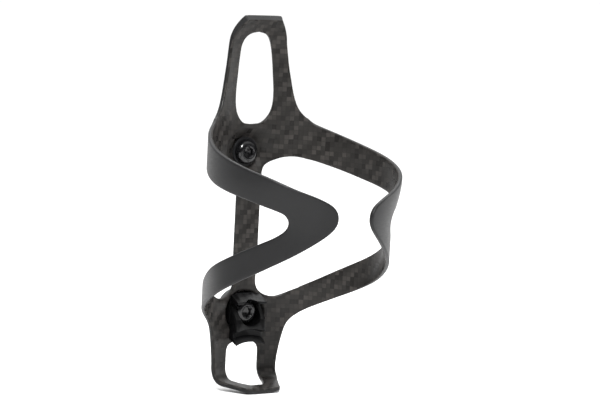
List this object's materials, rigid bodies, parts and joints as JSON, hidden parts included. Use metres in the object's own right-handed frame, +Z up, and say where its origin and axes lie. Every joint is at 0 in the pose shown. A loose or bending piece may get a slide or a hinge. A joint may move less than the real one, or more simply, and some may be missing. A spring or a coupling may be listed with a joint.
{
  "type": "water bottle cage",
  "caption": "Carbon bottle cage: slim spine with a hooked top loop, two wrap-round V-shaped sprung arms, a foot shelf and a bumper block, held on by button-head bolts.",
  "frame": {"origin": "midway between the two mounting bolts, on the plane of the two rear mounting faces", "axes": "+Z up along the bottle, +Y out of the back of the cage towards the frame tube, the open front faces -Y, +X is the right-hand side seen from the front with +Z up"},
  "size_m": [0.0766, 0.0912, 0.1496],
  "materials": {
    "carbon": "satin woven carbon fibre in epoxy",
    "bumper_plastic": "satin moulded plastic",
    "black_steel": "glossy black oxide"
  },
  "bodies": {
    "moulding": {"back_plate": "carbon"},
    "left_arm_body": {"left_arm": "carbon"},
    "right_arm_body": {"right_arm": "carbon"},
    "bumper_body": {"bottle_bumper": "bumper_plastic"},
    "washer_body": {"upper_washer": "black_steel"},
    "upper_bolt_body": {"upper_bolt": "black_steel"},
    "lower_bolt_body": {"lower_bolt": "black_steel"}
  },
  "joints": [
    {"name": "right_arm_flex", "type": "hinge", "parent": "moulding", "child": "right_arm_body", "pos_m": [0.0229, -0.01299, 0], "axis": [0, 0, 1], "range_deg": [-1, 8], "stiffness_Nm_per_rad": 5.5},
    {"name": "left_arm_flex", "type": "hinge", "parent": "moulding", "child": "left_arm_body", "pos_m": [-0.0229, -0.01299, 0], "axis": [0, 0, -1], "range_deg": [-1, 8], "stiffness_Nm_per_rad": 5.5},
    {"name": "upper_washer_slide", "type": "slide", "parent": "moulding", "child": "washer_body", "axis": [0, -1, 0], "range_m": [0, 0.0024]},
    {"name": "upper_bolt_turn", "type": "hinge", "parent": "washer_body", "child": "upper_bolt_body", "pos_m": [0, 0, 0.032], "axis": [0, -1, 0], "range_deg": [0, 1080.2]},
    {"name": "bumper_slide", "type": "slide", "parent": "moulding", "child": "bumper_body", "axis": [0, -1, 0], "range_m": [0, 0.0024]},
    {"name": "lower_bolt_turn", "type": "hinge", "parent": "bumper_body", "child": "lower_bolt_body", "pos_m": [0, 0, -0.032], "axis": [0, -1, 0], "range_deg": [0, 1080.2]}
  ],
  "couplings": [
    {"joint": "upper_bolt_turn", "follows": "upper_washer_slide", "rad_per_m": 7854},
    {"joint": "lower_bolt_turn", "follows": "bumper_slide", "rad_per_m": 7854}
  ]
}
